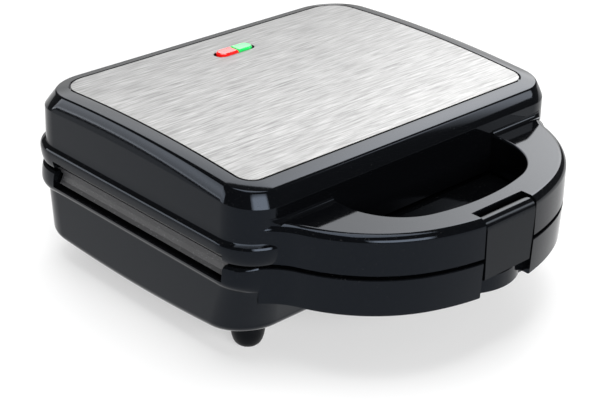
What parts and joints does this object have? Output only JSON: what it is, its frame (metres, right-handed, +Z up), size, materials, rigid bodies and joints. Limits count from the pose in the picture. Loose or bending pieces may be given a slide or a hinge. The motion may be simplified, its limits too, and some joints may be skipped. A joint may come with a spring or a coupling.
{
  "type": "breakfast sandwich maker",
  "caption": "Hinged clamshell sandwich toaster on peg feet, with triangular pocket plates, a split front handle, a swing-down latch and lamps in a brushed metal top.",
  "frame": {"origin": "under the middle of the closed toaster's box, at the height of the table", "axes": "+X to the right seen from the front, +Y to the hinge at the back, +Z up"},
  "size_m": [0.248, 0.2691, 0.1075],
  "materials": {
    "housing_plastic": "high gloss, moulded",
    "latch_plastic": "satin, moulded",
    "rubber_black": "matt, moulded",
    "non_stick_coating": "cast aluminium under a dark speckled non-stick coating",
    "heater_sheath": "heat-tinted tube",
    "reflector_sheet": "bright rolled sheet",
    "zinc_steel": "zinc-plated",
    "brushed_trim": "long-grain brushed",
    "lens_red": "clear tinted",
    "lens_green": "clear tinted",
    "ceramic_white": "unglazed ceramic and heat-resistant resin",
    "fuse_sleeve": "woven glass sleeve",
    "lamp_glass": "clear"
  },
  "bodies": {
    "base": {"lower_housing": "housing_plastic", "feet": "rubber_black", "lower_plate": "non_stick_coating", "lower_heater": "heater_sheath", "lower_heater_clamps": "zinc_steel", "lower_clamp_screws": "zinc_steel", "lower_reflector": "reflector_sheet", "lower_plate_screws": "zinc_steel", "thermostat": "ceramic_white", "thermal_fuse": "fuse_sleeve", "terminal_block": "ceramic_white", "cord_gland": "rubber_black", "hinge_pins": "zinc_steel"},
    "lid": {"upper_housing": "housing_plastic", "top_trim": "brushed_trim", "upper_plate": "non_stick_coating", "upper_heater": "heater_sheath", "upper_heater_clamps": "zinc_steel", "upper_clamp_screws": "zinc_steel", "upper_reflector": "reflector_sheet", "upper_plate_screws": "zinc_steel", "lamp_lens_red": "lens_red", "lamp_lens_green": "lens_green", "lamp_holder": "ceramic_white", "neon_lamps": "lamp_glass", "latch_pin": "zinc_steel"},
    "latch": {"latch_clip": "latch_plastic"}
  },
  "joints": [
    {"name": "lid_hinge", "type": "hinge", "parent": "base", "child": "lid", "pos_m": [0, 0.12855, 0.061], "axis": [-1, 0, 0], "range_deg": [0, 105]},
    {"name": "latch_pivot", "type": "hinge", "parent": "lid", "child": "latch", "pos_m": [0, -0.12935, 0.0782], "axis": [-1, 0, 0], "range_deg": [0, 35]}
  ]
}
